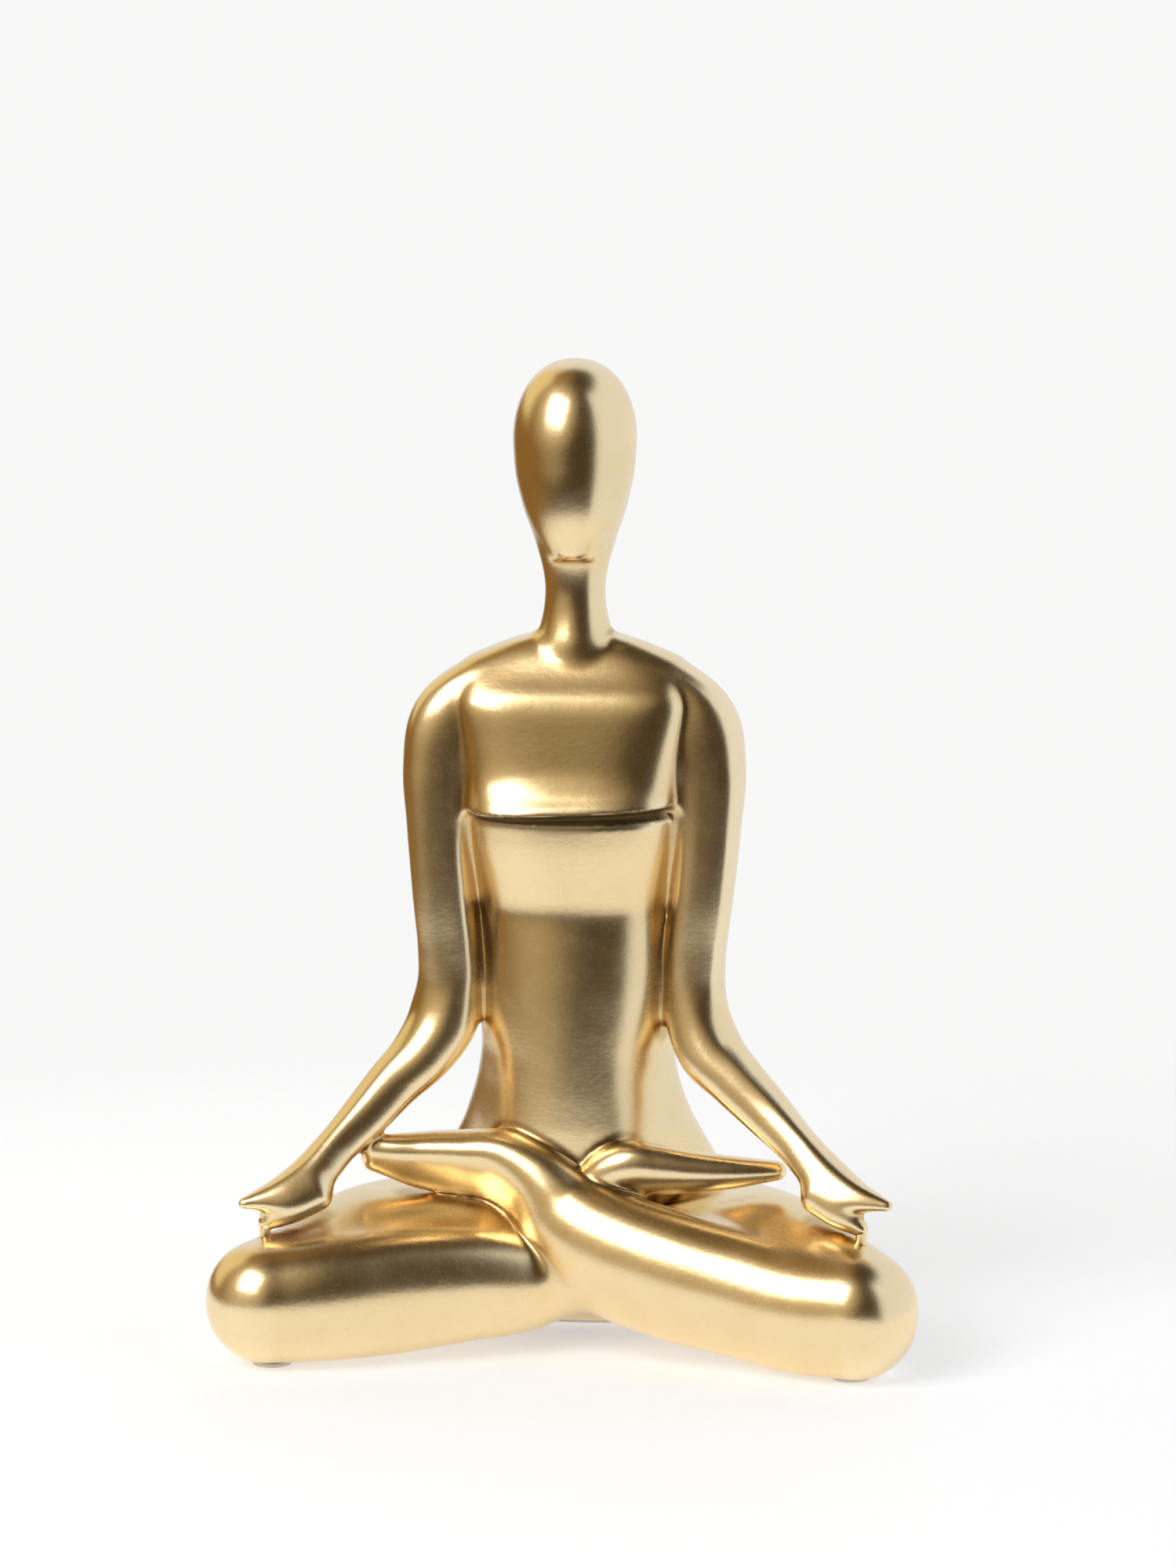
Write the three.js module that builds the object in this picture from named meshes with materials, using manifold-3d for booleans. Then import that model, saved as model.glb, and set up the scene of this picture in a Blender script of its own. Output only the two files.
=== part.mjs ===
// A seated meditation figure in satin gold, 230 mm tall: six polyresin castings, pinned and bonded.
//
// The head, torso, two arms and two legs are cast separately, because the arms close loops against
// the body and the legs interlock. Steel pins locate each bond, a plate with a vent plug closes
// the hollow torso from below, and felt pads keep the resin off the table.
//
// Units are millimetres. +Z is up, the figure looks along -Y, and +X is the figure's left. The
// shapes are drawn from the point on the table under the neck, and the last group moves them so
// that the part's origin is the middle of its footprint.

import * as THREE from "three";
import { mergeVertices } from "three/addons/utils/BufferGeometryUtils.js";
import Module from "manifold-3d";

// ---- driving dimensions ----------------------------------------------------------------------

const FELT = 0.8; // thickness of the felt pads
const BOND = 0.3; // glue line left between any two pieces
const BASE = FELT + BOND; // height of the castings' flat undersides
const NECK_JOINT = 164.5; // height of the bond between the torso and the neck
const SEAT_Y = 19.5; // middle of the seat, behind the neck's axis
const FOOTPRINT_Y = 6.25; // the neck's axis stands this far behind the middle of the footprint
const CLEAR = 200; // size of a block that is larger than anything it trims

const NECK_PIN = { radius: 2, low: 150, high: 180 };
const SHOULDER_PIN = { radius: 2, y: 1, z: 138, inner: 8, outer: 33 };
const HIP_PIN = { radius: 2.5, from: [-23, 14.5, 19], to: [-40, -4, 19.5] };
const SHIN_PIN = { radius: 1.6, x: -1.5, y: -13, low: 11, high: 37 };
const HAND_PEG = { radius: 1.3, x: -68.9, y: -31.5, low: 21, high: 35.5 };

const PLATE = { halfWidth: 22, halfDepth: 13, thickness: 3 };
const PLUG = { radius: 5, barb: 5.9, height: 6.5 };
const KNEE_PAD = { radius: 4.5, x: 67, y: -35.5 };
const SEAT_PAD = { halfWidth: 27, halfDepth: 12.5 };

// ---- the figure's outlines -------------------------------------------------------------------

// Stacked sections: height, half-width, front y, back y, and how square the section is (2 is an
// ellipse). The jump at 125 is the crease under the chest.
const TORSO = [
  [BASE, 30, 6.5, 31.5, 2.3],
  [6, 34, 3, 36, 2.3],
  [15, 37, 2, 38, 2.3],
  [28, 36, 1, 36, 2.3],
  [38, 33.5, -4, 31, 2.4],
  [44, 31, -11, 27, 2.5],
  [52, 28, -15, 23.5, 2.6],
  [60, 24.5, -16, 20.5, 2.7],
  [68, 22, -16, 18, 2.8],
  [80, 21, -15.2, 16, 3],
  [97, 22.5, -14, 15.5, 3],
  [110, 24.5, -16, 16.5, 3],
  [123.4, 25.8, -18.3, 17.5, 3],
  [125.2, 26, -21.6, 17.5, 3],
  [129, 26.1, -19.6, 17.5, 3],
  [134, 26.2, -17.6, 17.3, 3],
  [142, 26, -15.4, 16, 2.8],
  [150, 24.5, -12.8, 14, 2.5],
  [157, 18, -9.8, 12, 2.2],
  [161.5, 12, -8.4, 10, 2],
  [163.6, 8.8, -7.6, 9, 2],
  [NECK_JOINT, 8.2, -7.2, 8.6, 2],
];

// The core of the torso: a narrow tapered hollow that saves resin and ends below the shoulders.
const CAVITY = [
  [BASE - 1, 11.4, 9.5, 30, 2.3],
  [20, 11.3, 9, 31, 2.3],
  [38, 11.2, 4.5, 25.5, 2.3],
  [52, 11, -6.5, 16.2, 2.4],
  [68, 10.8, -10, 12.2, 2.6],
  [97, 10.4, -8, 10.5, 2.6],
  [112, 9.6, -7.5, 9, 2.4],
];

// The neck, and the blank egg-shaped head. The jump at 185 is the edge under the chin.
const HEAD = [
  [NECK_JOINT + BOND, 8.3, -7.4, 8.8, 2],
  [167, 7.9, -6.7, 8, 2],
  [170.5, 7.1, -6, 7.4, 2],
  [174, 6.9, -5.8, 7.2, 2],
  [178, 7.1, -6, 7.4, 2],
  [182, 7.7, -6.6, 8, 2],
  [184.2, 8.3, -7.2, 8.8, 2],
  [185.4, 8.7, -10.6, 9.3, 2],
  [187.5, 9.4, -12.2, 10.2, 2],
  [191, 10.6, -13.8, 11.8, 2],
  [196, 12, -15.4, 14, 2],
  [203, 13.7, -16.5, 16, 2],
  [211, 14.2, -16.3, 17, 2],
  [218.5, 13.4, -14.8, 16, 2],
  [224, 11.2, -12, 13.2, 2],
  [227.8, 8, -8.3, 9.6, 2],
  [229.6, 4.2, -4.2, 5.2, 2],
  [230, 1.5, -1.2, 2.2, 2],
];

// Limbs: a centre line's x, y, z, then the half-sizes across it and through it. The figure's right
// side is at -X. Its left knee is the fuller one, and its left hand rests higher on it.
const YOKE = [
  [-26, 1, 146.6, 9.6, 9.4],
  [-13, 1, 152, 10.2, 10],
  [0, 1, 153.5, 10.3, 10.4],
  [13, 1, 152, 10.2, 10],
  [26, 1, 146.8, 9.8, 9.4],
];
const RIGHT_ARM = [
  [-28.2, 1, 143.8, 10.6, 9.4],
  [-30.4, 1, 134, 9, 9],
  [-31.4, 1, 122, 7.5, 8.3],
  [-30.4, 1.5, 105, 7.1, 7.8],
  [-29.2, 2, 92, 7.2, 7.5],
  [-29, 1.5, 83, 7.6, 7.4],
  [-30.6, -1, 75, 8.4, 6.9],
  [-35, -4.5, 67.7, 7.9, 6.3],
  [-41.4, -8.5, 61.1, 6.9, 5.6],
  [-47.1, -13, 54.7, 6.2, 5.1],
  [-53.3, -18.8, 48.3, 5.3, 4.6],
  [-59.5, -25, 42, 5.6, 4.2],
  [-66, -29.5, 38.8, 4.4, 3.2],
  [-73, -32.5, 37.3, 1.6, 1.3],
];
const LEFT_ARM = [
  [28.2, 1, 144, 10.6, 9.4],
  [30.4, 1, 134, 9, 9],
  [31.2, 1, 122, 7.6, 8.3],
  [30, 1.5, 105, 7, 7.8],
  [28.6, 2, 92, 6.8, 7.5],
  [28.4, 1.5, 84, 6.9, 7.4],
  [29.2, -0.5, 76.5, 7.6, 6.9],
  [32.4, -3.5, 69.5, 8, 6.3],
  [38.5, -7.5, 63.5, 7.2, 5.6],
  [46, -13, 56.8, 6.3, 5.1],
  [53.2, -18.8, 50.6, 5.3, 4.6],
  [61, -25.5, 44.3, 5.6, 4.2],
  [67, -29.5, 41.6, 4.4, 3.2],
  [74.2, -32.5, 40.2, 1.6, 1.3],
];
const RIGHT_HEEL = [
  [-58, -26.5, 38.5, 5, 4],
  [-64.5, -29.8, 35, 4, 3.2],
  [-68.9, -31.5, 32.4, 1.9, 1.9],
];
const LEFT_HEEL = [
  [59, -26.5, 40.5, 5, 4],
  [64.7, -29.8, 37, 4, 3.2],
  [68.9, -31.5, 34.2, 1.9, 1.9],
];
const RIGHT_THIGH = [
  [-27, 13, 19.5, 15.5, 15.5],
  [-38, 1, 20, 16, 15.5],
  [-49, -13, 20, 16, 15],
  [-60, -27, 16.6, 14.6, 14.2],
  [-68.6, -36.5, 14.8, 14.2, 14],
];
const LEFT_THIGH = [
  [27, 13, 19.5, 15.5, 15.5],
  [38, 1, 20.4, 16, 15.5],
  [49, -13, 20.8, 16, 15],
  [60, -27, 18, 15.4, 14.2],
  [68.6, -36.5, 14.7, 14.7, 14],
];
const UNDER_SHIN = [
  [-68.6, -36.5, 14.8, 14.2, 14],
  [-56, -34, 14.8, 14, 13.4],
  [-42, -28.5, 14.8, 13.6, 12.8],
  [-24, -21, 15, 12.4, 11.8],
  [-9, -14.5, 14.8, 11, 10.4],
  [3, -6.5, 19, 9.2, 8.6],
  [12.5, -1.5, 27.5, 8, 7.4],
  [19, -3, 36, 7, 6.4],
];
const UNDER_FOOT = [
  [13, -4, 41, 6.2, 5.2],
  [20, -5.5, 41.9, 6, 5.4],
  [29.5, -9, 42.3, 5.1, 5],
  [39, -12, 43, 4, 4],
  [47, -14.5, 44.2, 2.8, 2.8],
];
const OVER_SHIN = [
  [68.6, -36.5, 14.7, 14.7, 14],
  [56, -34, 15.2, 14.8, 13.4],
  [41, -29.5, 17.8, 15, 12.8],
  [23.5, -25, 21.2, 15.4, 12.2],
  [6.5, -20, 25, 17, 11.6],
  [-5, -15, 36, 12, 9.5],
];
const OVER_FOOT = [
  [-11, -12.5, 42.6, 8.8, 7],
  [-23, -12, 43, 6.6, 6],
  [-34, -13.5, 43.5, 5.9, 5.2],
  [-41, -15, 44.4, 4.8, 4.2],
  [-44.5, -16, 44.6, 4, 3.4],
];

const ACROSS = new THREE.Vector3(1, 0, 0);
const BACK = new THREE.Vector3(0, 1, 0);
const UP = new THREE.Vector3(0, 0, 1);

// ---- surfaces --------------------------------------------------------------------------------

// One closed outline around a centre, in the plane of the two given directions.
function outline(centre, u, v, halfU, halfV, squareness, sides) {
  const power = 2 / squareness;
  const bend = (c) => Math.sign(c) * Math.abs(c) ** power;
  return Array.from({ length: sides }, (_, i) => {
    const angle = (2 * Math.PI * i) / sides;
    return centre
      .clone()
      .addScaledVector(u, halfU * bend(Math.cos(angle)))
      .addScaledVector(v, halfV * bend(Math.sin(angle)));
  });
}

// A closed skin over a row of outlines, with a fan at each end.
function skin(outlines) {
  const sides = outlines[0].length;
  const middle = (ring) => ring.reduce((sum, p) => sum.add(p), new THREE.Vector3()).divideScalar(sides);
  const points = [...outlines.flat(), middle(outlines[0]), middle(outlines.at(-1))];
  const foot = points.length - 2;
  const top = points.length - 1;
  const last = (outlines.length - 1) * sides;
  const index = [];
  for (let i = 0; i < sides; i++) {
    const j = (i + 1) % sides;
    index.push(foot, j, i, top, last + i, last + j);
    for (let k = 0; k < last; k += sides) {
      index.push(k + i, k + j, k + sides + j, k + i, k + sides + j, k + sides + i);
    }
  }
  return new THREE.BufferGeometry().setFromPoints(points).setIndex(index);
}

// Stacked level sections, each made larger all round by grow.
function stack(rows, { sides = 28, grow = 0 } = {}) {
  const level = ([z, halfWidth, front, back, squareness]) => {
    const centre = new THREE.Vector3(0, (front + back) / 2, z);
    return outline(centre, ACROSS, BACK, halfWidth + grow, (back - front) / 2 + grow, squareness, sides);
  };
  return skin(rows.map(level));
}

// A rounded tube along a smooth centre line. The first half-size lies along side, as near as the
// line's direction allows.
function limb(knots, side, { sides = 14, steps = 2, grow = 0 } = {}) {
  const line = new THREE.CatmullRomCurve3(knots.map(([x, y, z]) => new THREE.Vector3(x, y, z)));
  const sizes = new THREE.CatmullRomCurve3(
    knots.map(([, , , across, through]) => new THREE.Vector3(across, through, 0)),
  );
  const ring = (t, lift, scale) => {
    const along = line.getTangent(t);
    const u = side.clone().addScaledVector(along, -side.dot(along)).normalize();
    const v = along.clone().cross(u);
    const size = sizes.getPoint(t);
    const centre = line.getPoint(t).addScaledVector(along, lift * (Math.min(size.x, size.y) + grow));
    return outline(centre, u, v, scale * (size.x + grow), scale * (size.y + grow), 2, sides);
  };
  const capTurns = [80, 55, 28].map(THREE.MathUtils.degToRad);
  const spans = (knots.length - 1) * steps;
  return skin([
    ...capTurns.map((turn) => ring(0, -Math.sin(turn), Math.cos(turn))),
    ...Array.from({ length: spans + 1 }, (_, i) => ring(i / spans, 0, 1)),
    ...capTurns.toReversed().map((turn) => ring(1, Math.sin(turn), Math.cos(turn))),
  ]);
}

// ---- solids ----------------------------------------------------------------------------------

const wasm = await Module();
wasm.setup();

function solid(geometry) {
  const bare = geometry.clone();
  bare.deleteAttribute("normal");
  bare.deleteAttribute("uv");
  const merged = mergeVertices(bare, 1e-4);
  return new wasm.Manifold(
    new wasm.Mesh({
      numProp: 3,
      vertProperties: merged.attributes.position.array,
      triVerts: new Uint32Array(merged.index.array),
    }),
  );
}

function geometryOf(made) {
  const mesh = made.getMesh();
  const geometry = new THREE.BufferGeometry();
  geometry.setAttribute("position", new THREE.BufferAttribute(mesh.vertProperties, 3));
  geometry.setIndex(new THREE.BufferAttribute(mesh.triVerts, 1));
  geometry.computeVertexNormals();
  return geometry;
}

const joined = (...geometries) => geometries.map(solid).reduce((a, b) => a.add(b));
const without = (whole, ...cuts) => cuts.reduce((left, cut) => left.subtract(cut), whole);

// A round pin from one point to another. Its socket is the same, one bond line larger all round.
function pin(from, to, radius, slack = 0) {
  const start = new THREE.Vector3(...from);
  const along = new THREE.Vector3(...to).sub(start);
  const length = along.length() + 2 * slack;
  const turn = new THREE.Quaternion().setFromUnitVectors(BACK, along.clone().normalize());
  const middle = start.addScaledVector(along, 0.5);
  return new THREE.CylinderGeometry(radius + slack, radius + slack, length, 16)
    .applyQuaternion(turn)
    .translate(middle.x, middle.y, middle.z);
}

// The block of space below the castings' flat undersides.
function belowBase() {
  return solid(new THREE.BoxGeometry(CLEAR, CLEAR, CLEAR).translate(0, 0, BASE - CLEAR / 2));
}

function flatPlate(halfWidth, halfDepth, y, low, thickness, holeRadius = 0) {
  const edge = outline(new THREE.Vector3(0, y, 0), ACROSS, BACK, halfWidth, halfDepth, 2.3, 48);
  const shape = new THREE.Shape(edge.map((p) => new THREE.Vector2(p.x, p.y)));
  if (holeRadius) shape.holes.push(new THREE.Path().absarc(0, y, holeRadius, 0, 2 * Math.PI, true));
  const options = { depth: thickness, bevelEnabled: false, curveSegments: 12 };
  return new THREE.ExtrudeGeometry(shape, options).translate(0, 0, low);
}

// ---- pins and their sockets ------------------------------------------------------------------

// A side is -1 for the figure's right and 1 for its left. Points are given for the right.
const SIDES = [-1, 1];
const onSide = (side, [x, y, z]) => [-side * x, y, z];

function neckPin(slack) {
  return pin([0, 1, NECK_PIN.low], [0, 1, NECK_PIN.high], NECK_PIN.radius, slack);
}

function shoulderPin(side, slack) {
  const { radius, y, z, inner, outer } = SHOULDER_PIN;
  return pin([side * inner, y, z], [side * outer, y, z], radius, slack);
}

function hipPin(side, slack) {
  return pin(onSide(side, HIP_PIN.from), onSide(side, HIP_PIN.to), HIP_PIN.radius, slack);
}

function shinPin(slack) {
  const { radius, x, y, low, high } = SHIN_PIN;
  return pin([x, y, low], [x, y, high], radius, slack);
}

function handPeg(side, slack) {
  const { radius, x, y, low, high } = HAND_PEG;
  return pin(onSide(side, [x, y, low]), onSide(side, [x, y, high]), radius, slack);
}

// ---- castings --------------------------------------------------------------------------------

function torsoForm(grow = 0) {
  return joined(stack(TORSO, { sides: 36, grow }), limb(YOKE, UP, { grow }));
}

function armForm(side, grow = 0) {
  const [line, heel] = side < 0 ? [RIGHT_ARM, RIGHT_HEEL] : [LEFT_ARM, LEFT_HEEL];
  return joined(limb(line, ACROSS, { sides: 16, grow }), limb(heel, ACROSS, { sides: 10, grow }));
}

// The leg whose shin passes under the other, and whose knee is at -X.
function underLegForm(grow = 0) {
  const options = { sides: 18, grow };
  return joined(limb(RIGHT_THIGH, UP, options), limb(UNDER_SHIN, UP, options), limb(UNDER_FOOT, UP, options));
}

function overLegForm(grow = 0) {
  const options = { sides: 18, grow };
  return joined(limb(LEFT_THIGH, UP, options), limb(OVER_SHIN, UP, options), limb(OVER_FOOT, UP, options));
}

function torso() {
  const recess = flatPlate(
    PLATE.halfWidth + BOND,
    PLATE.halfDepth + BOND,
    SEAT_Y,
    BASE - 1,
    1 + PLATE.thickness + BOND,
  );
  return without(
    torsoForm(),
    solid(stack(CAVITY, { sides: 24 })),
    solid(recess),
    ...SIDES.map((side) => armForm(side, BOND)),
    solid(neckPin(BOND)),
    ...SIDES.flatMap((side) => [solid(shoulderPin(side, BOND)), solid(hipPin(side, BOND))]),
  );
}

function head() {
  return without(solid(stack(HEAD, { sides: 32 })), solid(neckPin(BOND)));
}

function arm(side) {
  return without(
    armForm(side),
    overLegForm(BOND),
    underLegForm(BOND),
    solid(shoulderPin(side, BOND)),
    solid(handPeg(side, BOND)),
  );
}

function underLeg() {
  return without(
    underLegForm(),
    overLegForm(BOND),
    torsoForm(BOND),
    belowBase(),
    solid(hipPin(-1, BOND)),
    solid(shinPin(BOND)),
    solid(handPeg(-1, BOND)),
  );
}

function overLeg() {
  return without(
    overLegForm(),
    torsoForm(BOND),
    belowBase(),
    solid(hipPin(1, BOND)),
    solid(shinPin(BOND)),
    solid(handPeg(1, BOND)),
  );
}

// ---- closure and pads ------------------------------------------------------------------------

function seatPlate() {
  return flatPlate(PLATE.halfWidth, PLATE.halfDepth, SEAT_Y, BASE, PLATE.thickness, PLUG.radius + BOND);
}

// A snap-in plug: it fills the plate's hole and widens to a barb above it.
function ventPlug() {
  const neckTop = PLATE.thickness + BOND;
  const profile = [
    [0, 0],
    [PLUG.radius, 0],
    [PLUG.radius, neckTop],
    [PLUG.barb, neckTop + 0.8],
    [PLUG.radius - 0.6, PLUG.height],
    [0, PLUG.height],
  ].map(([r, z]) => new THREE.Vector2(r, z));
  return new THREE.LatheGeometry(profile, 24).rotateX(Math.PI / 2).translate(0, SEAT_Y, BASE);
}

function kneeFelt(side) {
  const disc = new THREE.CylinderGeometry(KNEE_PAD.radius, KNEE_PAD.radius, FELT, 32).rotateX(Math.PI / 2);
  return disc.translate(side * KNEE_PAD.x, KNEE_PAD.y, FELT / 2);
}

function seatFelt() {
  return flatPlate(SEAT_PAD.halfWidth, SEAT_PAD.halfDepth, SEAT_Y, 0, FELT);
}

// ---- materials and assembly ------------------------------------------------------------------

const gold = new THREE.MeshStandardMaterial({ color: 0xc9a055, roughness: 0.32, metalness: 1 });
const steel = new THREE.MeshStandardMaterial({ color: 0xa9adb0, roughness: 0.4, metalness: 0.9 });
const plastic = new THREE.MeshStandardMaterial({ color: 0x2c2b29, roughness: 0.7, metalness: 0 });
const rubber = new THREE.MeshStandardMaterial({ color: 0x1d1c1b, roughness: 0.85, metalness: 0 });
const felt = new THREE.MeshStandardMaterial({ color: 0x3b332a, roughness: 0.95, metalness: 0 });

const figure = new THREE.Group();
const fromNeckAxis = new THREE.Group();
fromNeckAxis.position.y = FOOTPRINT_Y;
figure.add(fromNeckAxis);

function place(name, geometry, material) {
  const mesh = new THREE.Mesh(geometry, material);
  mesh.name = name;
  fromNeckAxis.add(mesh);
}

place("head", geometryOf(head()), gold);
place("torso", geometryOf(torso()), gold);
place("right_leg", geometryOf(underLeg()), gold);
place("left_leg", geometryOf(overLeg()), gold);
place("neck_pin", neckPin(0), steel);
place("shin_pin", shinPin(0), steel);
for (const [name, side] of [["right", -1], ["left", 1]]) {
  place(`${name}_arm`, geometryOf(arm(side)), gold);
  place(`${name}_shoulder_pin`, shoulderPin(side, 0), steel);
  place(`${name}_hip_pin`, hipPin(side, 0), steel);
  place(`${name}_hand_peg`, handPeg(side, 0), gold);
  place(`${name}_knee_felt`, kneeFelt(side), felt);
}
place("seat_plate", seatPlate(), plastic);
place("vent_plug", ventPlug(), rubber);
place("seat_felt", seatFelt(), felt);

export default figure;
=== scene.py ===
"""A seated meditation figure in satin gold, 230 mm tall.

The six castings are drawn as smooth distance fields, joined with small fillets where they meet,
meshed as one continuous skin and then split into one closed piece per casting, so the skin runs
on across every bond line. Pins, plate, plug and felt are the CAD nodes with better materials.

The fields are in millimetres, measured from the point on the table under the neck. The figure
looks along -Y, and +X is the figure's left. The meshes are in metres in the CAD frame.
"""

import math

import bpy
import numpy as np
import openvdb
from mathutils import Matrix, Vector

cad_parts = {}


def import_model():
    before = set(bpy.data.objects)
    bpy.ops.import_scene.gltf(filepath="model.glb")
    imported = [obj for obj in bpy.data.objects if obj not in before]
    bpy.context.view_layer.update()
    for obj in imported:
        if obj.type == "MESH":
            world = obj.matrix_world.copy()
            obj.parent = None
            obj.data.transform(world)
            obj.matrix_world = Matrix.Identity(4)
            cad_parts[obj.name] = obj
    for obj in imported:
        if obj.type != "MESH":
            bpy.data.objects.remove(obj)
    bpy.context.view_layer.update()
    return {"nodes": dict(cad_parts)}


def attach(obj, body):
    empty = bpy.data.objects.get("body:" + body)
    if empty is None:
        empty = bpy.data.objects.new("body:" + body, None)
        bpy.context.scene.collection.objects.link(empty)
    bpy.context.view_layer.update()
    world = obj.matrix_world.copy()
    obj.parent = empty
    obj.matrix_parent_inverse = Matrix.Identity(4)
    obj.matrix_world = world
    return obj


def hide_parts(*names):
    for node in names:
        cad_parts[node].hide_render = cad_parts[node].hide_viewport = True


MM = 0.001
VOXEL = 0.7
FAR = 12.0  # distances are only needed this close to a surface
NECK_Y = 6.25  # the neck's axis stands this far behind the middle of the footprint
BASE = 1.1  # height of the castings' flat undersides

# ---- the figure's outlines -------------------------------------------------------------------

# Stacked sections: height, half-width, front y, y of the widest place, back y, and how square the
# section is (2 is an ellipse). Above 102 the belly leans out to meet the chest, and ends inside it.
BELLY = [
    [36, 21, -14, 5, 24, 2.1],
    [44, 24, -17.2, 6, 23, 2.1],
    [52, 23.5, -17.4, 6.5, 21.5, 2.05],
    [60, 22.5, -17.2, 7, 19.5, 2.05],
    [68, 22.2, -16.8, 7, 18, 2.05],
    [76, 23, -16.3, 7, 16.6, 2.1],
    [84, 23.8, -15.8, 7, 16, 2.1],
    [92, 24, -15.2, 7, 15.8, 2.1],
    [99, 24, -14.6, 7, 15.9, 2.1],
    [102, 24, -14.4, 7, 16, 2.1],
    [105, 24, -14.7, 6.5, 16.2, 2.15],
    [110, 24.3, -15.7, 5.5, 16.6, 2.25],
    [118, 25, -17.3, 3.5, 17.2, 2.45],
    [128, 25.7, -18.8, 2, 17.6, 2.7],
    [134, 25, -17, 1.5, 17.2, 2.8],
    [142, 23, -13, 1, 16.2, 2.8],
    [150, 14, -8, 1, 8, 2.8],
]
HIPS = [
    [-6, 31, 5, 20, 34, 2.3],
    [6, 34.5, 3, 20, 36, 2.3],
    [15, 37, 2, 20, 38, 2.3],
    [28, 36, 1, 19, 36, 2.3],
    [38, 32.5, -1, 15, 31, 2.3],
    [48, 27.5, -3, 11.5, 26, 2.3],
    [60, 22, -5, 8, 20.5, 2.4],
    [74, 16.5, -5, 5, 14, 2.4],
    [84, 11, -3, 4, 7.5, 2.2],
]
CHEST = [
    [114, 24.6, -23.4, 0, 14.5, 3.5],
    [126, 24.6, -22.2, 0, 15.5, 3.5],
    [128.5, 24.6, -20.1, 0, 15.9, 3.5],
    [131, 24.6, -18.2, 0, 16.3, 3.5],
    [133.5, 24.9, -17, 0, 16.7, 3.5],
    [137, 25.4, -16.3, 0, 17, 3.5],
    [142, 26.2, -15.5, 0, 16.5, 3.7],
    [150, 27.2, -14.2, 0, 14.5, 4.4],
    [152.5, 27, -13.5, 0, 13.8, 4.8],
    [154.5, 26, -12, 0, 13.2, 4.8],
    [157, 24, -9.9, 0, 12, 4.6],
    [159.5, 21, -7.6, 0, 10.6, 4.2],
    [162, 17, -5.4, 0.5, 9, 3.4],
    [164.5, 12, -3.2, 1, 7, 2.6],
    [166.5, 8, -1.5, 1, 5, 2.2],
]
NECK = [
    [154, 8.6, -6.6, 1, 8.6, 2],
    [160, 9.4, -7.6, 1, 9.6, 2],
    [163, 9.6, -8, 1, 9.8, 2],
    [165, 9.2, -7.8, 1, 9.4, 2],
    [168, 8.1, -6.9, 1, 8.4, 2],
    [172, 7.2, -6.1, 0.7, 7.5, 2],
    [177, 6.85, -5.8, 0.7, 7.2, 2],
    [182, 7.6, -6.5, 0.7, 8, 2],
    [186, 8.8, -7.8, 0.8, 9.2, 2],
    [190, 9.95, -9.4, 0.9, 11, 2],
    [195, 11.6, -11.2, 1, 13, 2],
    [200, 12.2, -12, 1, 14, 2],
]
FACE = [
    [180, 4.4, -8.4, 0, 7.4, 2],
    [184.6, 5.8, -10.2, -1, 8.6, 2],
    [187.5, 7.6, -11.8, -1, 10.2, 2],
    [191, 9.7, -13.5, -1, 11.8, 2],
    [196, 11.9, -15.3, -0.7, 14, 2],
    [203, 13.7, -16.5, -0.3, 16, 2],
    [211, 14.3, -16.5, 0.2, 17, 2],
    [219, 14.3, -16.4, 0.3, 17, 2],
    [236, 14.3, -16.4, 0.3, 17, 2],
]
CROWN = {"low": 210.5, "height": 19.4}  # where the dome of the head starts, and how tall it is
CHIN = 184.6  # height of the flat underside of the chin
SHOULDER_X, SHOULDER_LOW = 27.5, 132  # the arms are bonded on at this x, above this height
LIP = {"z": 126.6, "rise": 0.05}  # the lower edge of the chest, which rises to the figure's left
DOME = 2.2  # how square the crown's profile is (2 is an ellipse)

# Over how many millimetres of height a stack's sizes are smoothed.
SOFT = {"belly": 1.0, "hips": 2.5, "chest": 1.8, "neck": 1.5, "face": 2.0}

# Fillet radii where shapes meet, and at the edges that are cut into them.
FILLET = {
    "lip": 1.2,
    "groove": 0.7,
    "hips": 5,
    "shoulders": 4,
    "chin": 1.2,
    "hand": 3,
    "foot": 4,
    "neck": 1.8,
    "lap": 1.5,
}

# The chest's lip: the dark groove under it is this wide on the figure's right, and this much wider
# on the left, and it grows between these two x. At the back the chest tucks into the belly.
GROOVE = {"radius": 0.6, "more": 0.85, "from_x": -26, "to_x": 20, "half_length": 22, "back_y": -6}
TUCK = {"depth": 2.0, "from_y": 0, "to_y": 8, "top_z": 146, "full_z": 130}

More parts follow.
